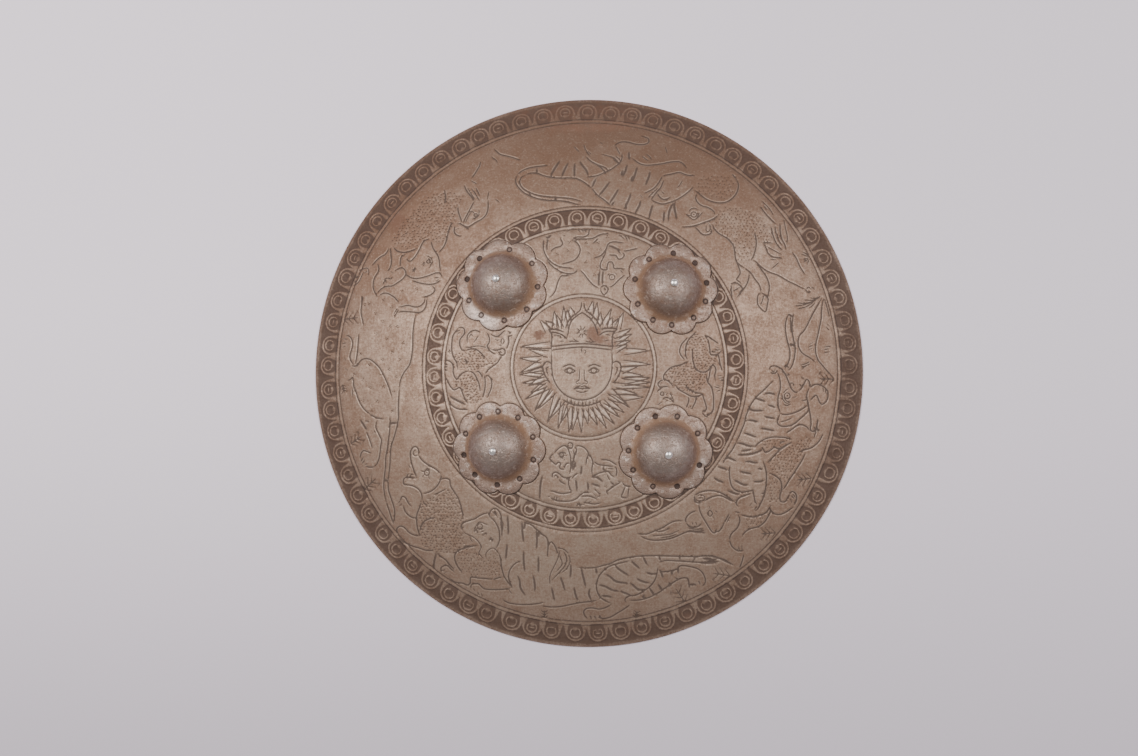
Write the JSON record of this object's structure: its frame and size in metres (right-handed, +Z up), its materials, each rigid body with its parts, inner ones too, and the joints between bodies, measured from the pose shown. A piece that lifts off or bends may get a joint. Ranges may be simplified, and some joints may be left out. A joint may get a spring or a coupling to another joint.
{
  "type": "domed steel shield",
  "caption": "Round domed steel shield, chased all over with beasts, ornament borders and a sun face, with petalled bosses held by round-headed pins.",
  "frame": {"origin": "middle of the rim's flat underside, on the surface that the shield lies on", "axes": "+Z up through the top of the dome, +Y towards the side of the shield that is up when it hangs, +X to its right"},
  "size_m": [0.46, 0.46, 0.0782],
  "materials": {
    "dish_steel": "satin steel with a warm brown patina, darker in the cut lines and the borders",
    "boss_steel": "worn steel, brighter on the petals, with orange rust round the foot of the dome",
    "pin_steel": "bright rubbed steel"
  },
  "bodies": {
    "root": {"dish": "dish_steel", "boss_upper_right": "boss_steel", "boss_upper_left": "boss_steel", "boss_lower_left": "boss_steel", "boss_lower_right": "boss_steel", "pin_upper_right": "pin_steel", "pin_upper_left": "pin_steel", "pin_lower_left": "pin_steel", "pin_lower_right": "pin_steel"}
  },
  "joints": []
}
